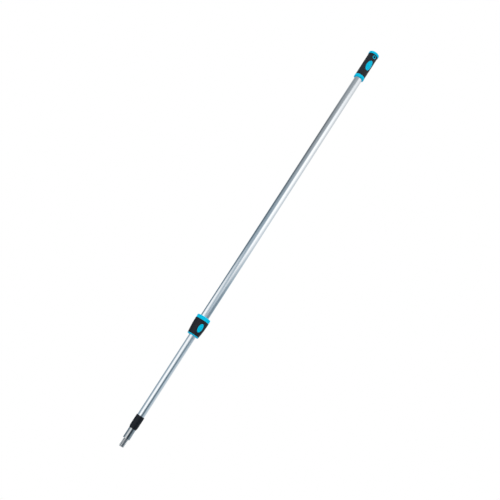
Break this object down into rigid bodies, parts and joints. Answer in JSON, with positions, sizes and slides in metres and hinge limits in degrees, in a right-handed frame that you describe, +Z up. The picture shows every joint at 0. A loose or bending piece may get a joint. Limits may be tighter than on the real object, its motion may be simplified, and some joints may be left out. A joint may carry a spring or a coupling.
{
  "type": "roller extension pole",
  "caption": "Telescopic aluminium pole with a soft hanging handle, a twist-lock collar and a coarse threaded tip, for holding a paint roller frame out of arm's reach.",
  "frame": {"origin": "middle of the hanging hole through the handle, on the pole's axis", "axes": "+Z up the pole towards the handle's cap, -Y out of the hanging hole's front, the side that both oval badges face"},
  "size_m": [0.0534, 0.0535, 1.781],
  "materials": {
    "tube_aluminium": "satin drawn tube",
    "blue_plastic": "moulded, half gloss",
    "black_rubber": "fine matt stipple",
    "black_nylon": "moulded, satin",
    "grey_nylon": "moulded, matt",
    "white_acetal": "moulded, waxy",
    "plated_steel": "bright plated, turned",
    "plain_steel": "plain wire"
  },
  "bodies": {
    "outer_section": {"outer_tube": "tube_aluminium", "handle_core": "blue_plastic", "handle_grip": "black_rubber", "handle_badge": "blue_plastic", "handle_cap": "blue_plastic", "hanging_eyelet": "blue_plastic", "handle_rivets": "plain_steel", "collet_body": "grey_nylon", "collet_rivets": "plain_steel"},
    "clamp_ring": {"cone_ring": "white_acetal"},
    "twist_collar": {"lock_core": "blue_plastic", "lock_grip": "black_rubber", "lock_badge": "blue_plastic", "wiper_ring": "black_rubber"},
    "wear_bush": {"guide_bush": "white_acetal"},
    "inner_section": {"inner_tube": "tube_aluminium", "inner_end_plug": "black_nylon", "guide_clip": "plain_steel", "stop_bush": "black_nylon", "stop_rivets": "plain_steel", "tip_sleeve": "black_nylon", "threaded_tip": "plated_steel", "tip_pin": "plain_steel"}
  },
  "joints": [
    {"name": "collar_advance", "type": "slide", "parent": "outer_section", "child": "clamp_ring", "axis": [0, 0, -1], "range_m": [0, 0.0021]},
    {"name": "collar_turn", "type": "hinge", "parent": "clamp_ring", "child": "twist_collar", "pos_m": [0, 0, -1.262], "axis": [0, 0, -1], "range_deg": [0, 180]},
    {"name": "extension", "type": "slide", "parent": "outer_section", "child": "wear_bush", "axis": [0, 0, -1], "range_m": [-0.33, 0.7]},
    {"name": "inner_spin", "type": "hinge", "parent": "wear_bush", "child": "inner_section", "pos_m": [0, 0, -1.262], "axis": [0, 0, -1], "continuous": true}
  ],
  "couplings": [
    {"joint": "collar_advance", "follows": "collar_turn", "m_per_rad": 0.00063662}
  ]
}
